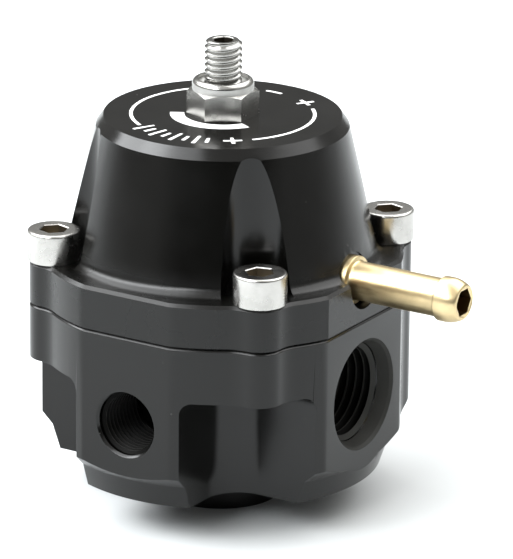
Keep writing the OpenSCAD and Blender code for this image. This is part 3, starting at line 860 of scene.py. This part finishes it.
class REGULATOR_OT_stage(Operator):
    """Floor, camera and soft studio light"""

    bl_idname = "regulator.stage"
    bl_label = "Stage"

    def light(self, name, place, size, power, hue):
        """Soft rectangular light that faces the middle of the part."""
        middle = Vector((0, 0, 0.035))
        data = bpy.data.lights.new(name, "AREA")
        data.shape = "RECTANGLE"
        data.size, data.size_y = size
        data.energy = power
        data.color = hue
        lamp = bpy.data.objects.new(name, data)
        lamp.location = place
        lamp.rotation_euler = (middle - Vector(place)).to_track_quat("-Z", "Y").to_euler()
        bpy.context.scene.collection.objects.link(lamp)

    def room(self, studio):
        """Room for reflections, dark in front and dim above, and a pale wall for the camera."""
        front_edge, back_edge, roof_edge = (0.58, 0.84), (-0.95, -0.7), (0.3, 0.62)
        world = bpy.data.worlds.new("room")
        bpy.context.scene.world = world
        world.use_nodes = True
        tree = world.node_tree
        way = new_node(tree, "ShaderNodeTexCoord").outputs["Generated"]
        facing = along_way(tree, way, studio.front)
        ahead = scaled_range(tree, facing, *front_edge, studio.side_level, studio.front_level)
        behind = scaled_range(tree, facing, *back_edge, studio.back_level, studio.side_level)
        low = reckon(tree, "MINIMUM", ahead, behind)
        lift = scaled_range(tree, parts_of(tree, way)["Z"], *roof_edge)
        rest = reckon(tree, "MULTIPLY", low, reckon(tree, "SUBTRACT", 1.0, lift))
        dim = tree.nodes["Background"]
        strength = reckon(tree, "MULTIPLY_ADD", lift, studio.roof_level, rest)
        fill(tree, dim, {"Color": (1.0, 1.0, 0.97), "Strength": strength})
        wall = new_node(tree, "ShaderNodeBackground", {"Color": (1.0, 1.0, 1.0)})
        seen = new_node(tree, "ShaderNodeLightPath").outputs["Is Camera Ray"]
        both = new_node(tree, "ShaderNodeMixShader", {0: seen, 1: dim.outputs[0], 2: wall.outputs[0]})
        fill(tree, tree.nodes["World Output"], {"Surface": both.outputs[0]})

    def camera(self, studio):
        """Camera at the viewing angle of the photograph."""
        eye = Vector(studio.eye)
        ahead = (Vector(studio.target) - eye).normalized()
        right = ahead.cross(Vector((0, 0, 1))).normalized()
        up = right.cross(ahead)
        turn = Matrix.Rotation(-studio.roll, 3, ahead)
        axes = Matrix((turn @ right, turn @ up, -ahead)).transposed().to_4x4()
        data = bpy.data.cameras.new("camera")
        data.lens = studio.lens
        data.sensor_width = 36.0
        data.clip_end = 20.0
        camera = bpy.data.objects.new("camera", data)
        camera.matrix_world = Matrix.Translation(eye) @ axes
        bpy.context.scene.collection.objects.link(camera)
        bpy.context.scene.camera = camera

    def execute(self, context):
        studio = context.scene.regulator_studio
        half = studio.floor_size / 2
        gap = 0.02 * MM
        mesh = bpy.data.meshes.new("floor")
        corners = [(-half, -half, -gap), (half, -half, -gap), (half, half, -gap), (-half, half, -gap)]
        mesh.from_pydata(corners, [], [(0, 1, 2, 3)])
        floor = held(mesh)
        material = bpy.data.materials.new("pale_floor")
        material.use_nodes = True
        tree = material.node_tree
        fill(tree, tree.nodes["Principled BSDF"], {
            "Base Color": context.scene.regulator_colours.floor, "Roughness": 0.7,
            "Specular IOR Level": 0.1})
        mesh.materials.append(material)
        self.room(studio)
        self.camera(studio)
        cool, white = (0.96, 0.98, 1.0), (1.0, 1.0, 1.0)
        self.light("key_light", (-0.47, -0.633, 0.65), (1.8, 0.3), studio.key_power, cool)
        self.light("high_light", (-0.484, -0.251, 0.874), (1.6, 0.7), studio.high_power, cool)
        self.light("top_light", (0.2, 0.5, 0.9), (1.6, 1.0), studio.top_power, white)
        context.scene.view_settings.view_transform = "Standard"
        return {"FINISHED"}


class REGULATOR_OT_lower_body(Operator):
    """Lobed lower body with eased edges"""

    bl_idname = "regulator.lower_body"
    bl_label = "Lower Body"

    def execute(self, context):
        width = context.scene.regulator_edges.body
        coats = ("black_body", "black_edge")
        eased_piece("milled_body", "lower_body", width, coats, "black_anodised_body")
        return {"FINISHED"}


class REGULATOR_OT_port_threads(Operator):
    """Screw threads of the two inlets, the gauge port and the return port"""

    bl_idname = "regulator.port_threads"
    bl_label = "Port Threads"

    def execute(self, context):
        threads = context.scene.regulator_threads
        sunk, foot_share, run_out = 0.03 * MM, 0.94, 0.5
        # Crests and mouth rings take a lighter colour: painted highlight.
        coats = ("black_thread", "worn_crest")
        pitches = {
            "inlet_right": threads.inlet_pitch, "inlet_left": threads.inlet_pitch,
            "gauge_port": threads.gauge_pitch, "return_port": threads.return_pitch}
        for name, pitch in pitches.items():
            mount = mounts[name]
            axis = Vector(mount["axis"])
            root = mount["dims"]["r_mm"] * MM + sunk
            depth = -threads.depth_share * pitch
            rise = mount["dims"]["length_mm"] * MM - pitch
            mesh = thread_mesh(root, depth, pitch, rise, foot_share, run_out, coats)
            set_along(mesh, Vector(mount["pos_m"]) - axis * rise / 2, axis)
            outward(mesh)
            piece(f"{name}_thread", mesh, (), "housing", "black_anodised_body")
        for name in ("inlet_right", "inlet_left"):
            mount = mounts[name]
            inwards = -Vector(mount["axis"])
            seat = Vector(mount["pos_m"]) - inwards * mount["dims"]["length_mm"] * MM / 2
            ring = turned(f"{name}_mouth", self.mouth_profile(mount["dims"]["r_mm"]))
            set_along(ring, seat, inwards)
            piece(f"{name}_mouth", ring, ("worn_crest",), "housing", "black_anodised_body")
        return {"FINISHED"}

    def mouth_profile(self, root):
        """Ring from the flat to the first thread: a chamfer, the O-ring's cone and the thread's lead."""
        flat, rim, chamfer, chamfer_end = -2.59, 9.09, 0.46, 8.7
        lead, lead_depth, bed, easing = 7.2, 0.55, 0.09, 0.06
        return rounded([
            (flat, rim, 0), (flat + chamfer, chamfer_end, easing), (0.0, root + 0.02, easing),
            (lead_depth, lead, easing), (lead_depth + 0.4, root + bed, 0), (0.0, root + bed, 0),
            (flat + 0.3, rim - 0.04, 0)])


class REGULATOR_OT_spring_cover(Operator):
    """Scalloped bell with eased edges"""

    bl_idname = "regulator.spring_cover"
    bl_label = "Spring Cover"

    def execute(self, context):
        width = context.scene.regulator_edges.body
        coats = ("black_cover", "black_edge")
        eased_piece("scalloped_cover", "spring_cover", width, coats, "black_anodised_cover")
        return {"FINISHED"}


class REGULATOR_OT_top_marks(Operator):
    """Adjusting marks on the flat top: two ring arcs, a scale with plus and minus, and a band"""

    bl_idname = "regulator.top_marks"
    bl_label = "Top Marks"

    def execute(self, context):
        sizes = context.scene.regulator_print
        half = sizes.line / 2
        ring = sizes.ring_radius
        low = cover_high.z - sizes.thickness
        high = cover_high.z + sizes.thickness
        degree = math.degrees(1 / ring)
        arcs, band, scale = ((102, 227), (-39, 44)), (-152, -28), range(-116, -64, 7)
        signs = ((-127, False), (-51.5, True), (58, True), (88, False))
        long_tick, short_tick, sign = 1.9 * MM, 1.1 * MM, 1.5 * MM
        work = bmesh.new()

        def bar(inner, outer, middle, half_width):
            """Adds a bar across the ring about a middle angle."""
            spread = half_width * degree
            arc_band(work, inner, outer, middle - spread, middle + spread, low, high)

        for start, end in arcs:
            arc_band(work, ring - half, ring + half, start, end, low, high)
        arc_band(work, sizes.band_inner, sizes.band_outer, *band, low, high)
        for index, angle in enumerate(scale):
            reach = short_tick if index % 2 else long_tick
            bar(ring - reach, ring + reach, angle, half)
        for angle, crossed in signs:
            bar(ring - half, ring + half, angle, sign)
            if crossed:
                bar(ring - sign, ring - half, angle, half)
                bar(ring + half, ring + sign, angle, half)
        mesh = closed_mesh("top_marks", work)
        piece("top_marks", mesh, ("white_paint",), "housing", "black_anodised_cover")
        return {"FINISHED"}


class REGULATOR_OT_cap_screws(Operator):
    """Four socket cap screws"""

    bl_idname = "regulator.cap_screws"
    bl_label = "Cap Screws"

    def execute(self, context):
        top, length, shank, head, tip = SCREW_HEAD, 16.0, 2.5, 4.25, 0.5
        rim, mouth, lip, socket, floor, drill = 3.2, 2.14, 0.12, 2.0, 2.4, 1.75
        profile = rounded([
            (-length, 0.0, 0), (-length, shank - tip, 0), (-length + tip, shank, 0), (0.0, shank, 0),
            (0.0, head, 0.12), (top, head, 0.5), (top, rim, 0)])
        profile += [
            (top, mouth, True), (top - lip, socket, True), (floor + 0.05, socket, True),
            (floor, socket - 0.04, True), (drill, 0.0)]
        mesh = turned("cap_screw", profile)
        own = mesh.attributes.new("own_place", "FLOAT_VECTOR", "POINT")
        own.data.foreach_set("vector", [value for vertex in mesh.vertices for value in vertex.co])
        # Faces inside the socket are marked for the painted shade.
        inside = mesh.attributes.new("socket", "BOOLEAN", "FACE")
        socket_top, socket_reach = 4.8 * MM, 2.45 * MM
        for face, mark in zip(mesh.polygons, inside.data):
            mark.value = 0 < face.center.z < socket_top and face.center.xy.length < socket_reach
        screw = held(mesh)
        screws = grown(screw_circle_tree(), {
            "Screw": screw, "Count": 4, "Level": screws_high.z - top * MM, "First Angle": math.radians(45),
            "Pitch Radius": math.hypot(*(screws_high.xy - Vector((head, head)) * MM)),
            "Finish": finish("stainless_screw"), "Socket Finish": finish("oily_socket")})
        bpy.data.objects.remove(screw)
        piece("socket_cap_screws", screws, (), "housing", "stainless_screws", "cap_screws")
        return {"FINISHED"}


class REGULATOR_OT_adjusting_screw(Operator):
    """Adjusting screw with its thread and its hexagon socket"""

    bl_idname = "regulator.adjusting_screw"
    bl_label = "Adjusting Screw"

    def core(self, root):
        """Screw without its thread."""
        low, high = stud_low.z / MM, stud_high.z / MM
        foot, rim, lip = 0.35, 0.08, 1.82
        socket, socket_top, socket_depth, drill = 1.5, 0.12, 3.5, 4.1
        socket_reach, socket_lip = 1.76 * MM, 0.11 * MM
        profile = rounded([
            (low, 0.0, 0), (low, root - foot, 0), (low + foot, root, 0), (high - 0.1, root, 0.04),
            (high, root - rim, 0.04), (high, lip, 0.05), (high - rim, lip - rim, 0)])
        profile += [
            (high - socket_top, socket, True), (high - socket_depth, socket, True), (high - drill, 0.0)]
        mesh = turned("adjusting_screw", profile)
        shade_socket_faces(mesh, socket_reach, stud_high.z - socket_lip)
        return mesh

    def execute(self, context):
        pitch = context.scene.regulator_threads.stud_pitch
        radius = stud_high.x
        depth_share, overrun, lead = 0.5, 0.1, 0.25
        depth = depth_share * pitch
        root = radius - depth
        chamfer, clear, sunk, foot_share, run_out = 0.42 * MM, 0.01 * MM, 0.02 * MM, 0.93, 0.2
        rise = stud_high.z - stud_low.z + overrun * pitch
        ridge = thread_mesh(
            root - sunk, depth + sunk, pitch, rise, foot_share, run_out, ("stainless_stud", "stainless_stud"))
        ridge.transform(Matrix.Translation((0, 0, stud_low.z + lead * pitch)))
        for vertex in ridge.vertices:
            vertex.co.z = min(max(vertex.co.z, stud_low.z + clear), stud_high.z - clear)
            end_gap = max(0.0, min(stud_high.z - vertex.co.z, vertex.co.z - stud_low.z))
            reach = vertex.co.xy.length
            limit = radius - max(0.0, chamfer - end_gap)
            if reach > limit:
                vertex.co.xy *= limit / reach
        outward(ridge)
        # The socket's inside takes a darker colour: painted shade.
        coats = ("stainless_stud", "dark_socket")
        piece("adjusting_core", self.core(root / MM), coats, "adjuster", "stainless_stud", "adjusting_screw")
        piece("adjusting_thread", ridge, (), "adjuster", "stainless_stud")
        return {"FINISHED"}


class REGULATOR_OT_lock_nut(Operator):
    """Lock nut with eased edges, and its nylon ring"""

    bl_idname = "regulator.lock_nut"
    bl_label = "Lock Nut"

    def execute(self, context):
        width = context.scene.regulator_edges.nut
        eased_piece("collared_nut", "lock_nut", width, ("stainless_nut", "stainless_nut"), "stainless_nut")
        paint_node("lock_nut_ring", "pale_nylon")
        return {"FINISHED"}


class REGULATOR_OT_vacuum_barb(Operator):
    """Turned brass barb with its bead and the hexagon in its tip"""

    bl_idname = "regulator.vacuum_barb"
    bl_label = "Vacuum Barb"

    def execute(self, context):
        start, tube, length, bore, thread = -BARB_THREAD, BARB_TUBE, 20.9, 1.4, 2.5
        collar, bead, bead_start, bead_end, tip = 3.9, 3.6, 16.8, 19.2, 2.8
        lip, socket, socket_depth, socket_reach, socket_top = 2.45, 2.0, 4.0, 2.34, 0.17
        profile = rounded([
            (start, bore, 0), (start, thread - 0.2, 0), (start + 0.2, thread, 0), (0.0, thread, 0),
            (0.0, collar, 0.05), (BARB_COLLAR, collar, 0.12), (1.38, tube + 0.12, 0.1), (1.6, tube, 0.15),
            (bead_start, tube, 0.04), (bead_start + 0.22, bead, 0.16), (bead_end, bead, 0.95),
            (length, tip + 0.05, 0.4), (length, lip, 0.06), (length - 0.12, lip - 0.13, 0)])
        profile += [
            (length - 0.18, socket, True), (length - socket_depth, socket, True),
            (length - socket_depth - 0.05, socket - 0.1, True), (length - socket_depth - 0.3, bore)]
        mesh = turned("vacuum_barb", profile)
        shade_socket_faces(mesh, socket_reach * MM, (length - socket_top) * MM)
        seat = Vector((barb_low.x + BARB_THREAD * MM, 0, barb_level))
        corner_turn = Matrix.Rotation(math.radians(30), 4, "Z")
        mesh.transform(Matrix.Translation(seat) @ Matrix.Rotation(math.pi / 2, 4, "Y") @ corner_turn)
        # The socket's inside takes painted shade.
        piece("turned_barb", mesh, ("brass_barb", "brass_socket"), "housing", "brass_barb", "vacuum_barb")
        return {"FINISHED"}


class REGULATOR_OT_pressure_spring(Operator):
    """Coil spring between the diaphragm's plate and the button"""

    bl_idname = "regulator.pressure_spring"
    bl_label = "Pressure Spring"

    def execute(self, context):
        wire, coil, spigot = 0.98 * MM, 8.5 * MM, 1.5 * MM
        foot = plate_high.z - spigot
        roof = button_low.z + spigot
        height = roof - foot
        mesh = grown(coil_tree(), {
            "Coil Radius": coil, "Wire Radius": wire, "Rise": height - 2 * wire, "Turns": 4.5,
            "Closed Turns": 0.75, "Steps": 48, "Finish": finish("spring_wire")})
        mesh.transform(Matrix.Translation((0, 0, foot + wire)))
        outward(mesh)
        coats = ("spring_wire",)
        spring = piece("coil_spring", mesh, coats, "diaphragm_stack", "spring_steel", "pressure_spring")
        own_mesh(spring)
        return {"FINISHED"}


class REGULATOR_OT_diaphragm(Operator):
    """Rubber diaphragm in sectors with one rolled ring"""

    bl_idname = "regulator.diaphragm"
    bl_label = "Diaphragm"

    def section(self, thickness, chamber):
        """Loop of (radius, height) points: flat rubber with one ring rolled upwards."""
        low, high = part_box("diaphragm")
        hole = min(vertex.co.xy.length for vertex in frame["nodes"]["diaphragm"].data.vertices)
        outer = high.z - low.z
        inner = outer - thickness
        centre = (plate_high.x + chamber) / 2

        def arc(radius, start, end, steps=12):
            """Points round the middle of the rolled ring."""
            angles = [start + (end - start) * step / steps for step in range(steps + 1)]
            return [(centre + radius * math.cos(angle), low.z + radius * math.sin(angle)) for angle in angles]

        flat = math.asin(thickness / outer)
        return [
            (hole, low.z), *arc(inner, math.pi, 0.0), (high.x, low.z), (high.x, low.z + thickness),
            *arc(outer, flat, math.pi - flat), (hole, low.z + thickness)]

    def execute(self, context):
        thickness, chamber, sectors = 1.0 * MM, 15.0 * MM, 16
        section = self.section(thickness, chamber)
        share = 360 / sectors
        coats = ("black_rubber",)
        for index in range(sectors):
            work = bmesh.new()
            swept(work, section, index * share, (index + 1) * share)
            mesh = closed_mesh("diaphragm", work)
            smooth_by_angle(mesh)
            name = f"diaphragm_sector_{index + 1}"
            made = piece(name, mesh, coats, None, "black_rubber", "diaphragm")
            way = Vector((1, 0, 0))
            way.rotate(Matrix.Rotation(math.radians((index + 0.5) * share), 3, "Z"))
            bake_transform(made)
        return {"FINISHED"}


class REGULATOR_OT_inner_works(Operator):
    """Finishes of the pieces inside"""

    bl_idname = "regulator.inner_works"
    bl_label = "Inner Works"

    def execute(self, context):
        steel = (
            "diaphragm_plate", "valve_holder", "stem_washer", "stem_nut", "valve_ball", "spring_button")
        for node in steel:
            paint_node(node, "turned_steel")
        paint_node("valve_seat", "brass_seat")
        paint_node("seat_oring", "black_rubber")
        return {"FINISHED"}


OPERATORS = (
    REGULATOR_OT_stage, REGULATOR_OT_lower_body, REGULATOR_OT_port_threads, REGULATOR_OT_spring_cover,
    REGULATOR_OT_top_marks, REGULATOR_OT_cap_screws, REGULATOR_OT_adjusting_screw, REGULATOR_OT_lock_nut,
    REGULATOR_OT_vacuum_barb, REGULATOR_OT_pressure_spring, REGULATOR_OT_diaphragm, REGULATOR_OT_inner_works,
)


class REGULATOR_PT_panel(Panel):
    """Pieces of the regulator and their settings"""

    bl_idname = "REGULATOR_PT_panel"
    bl_label = "Regulator"
    bl_space_type = "VIEW_3D"
    bl_region_type = "UI"
    bl_category = "Regulator"

    def draw(self, context):
        for operator in OPERATORS:
            self.layout.operator(operator.bl_idname)
        for name, group in SETTINGS.items():
            box = self.layout.box()
            box.label(text=group.__doc__)
            for key in group.__annotations__:
                box.prop(getattr(context.scene, name), key)


def register():
    for name, group in SETTINGS.items():
        bpy.utils.register_class(group)
        setattr(bpy.types.Scene, name, PointerProperty(type=group))
    for cls in (*OPERATORS, REGULATOR_PT_panel):
        bpy.utils.register_class(cls)


def unregister():
    for cls in (REGULATOR_PT_panel, *reversed(OPERATORS)):
        bpy.utils.unregister_class(cls)
    for name, group in SETTINGS.items():
        delattr(bpy.types.Scene, name)
        bpy.utils.unregister_class(group)


def main():
    register()
    for operator in OPERATORS:
        family, name = operator.bl_idname.split(".")
        getattr(getattr(bpy.ops, family), name)()


if __name__ == "__main__":
    main()
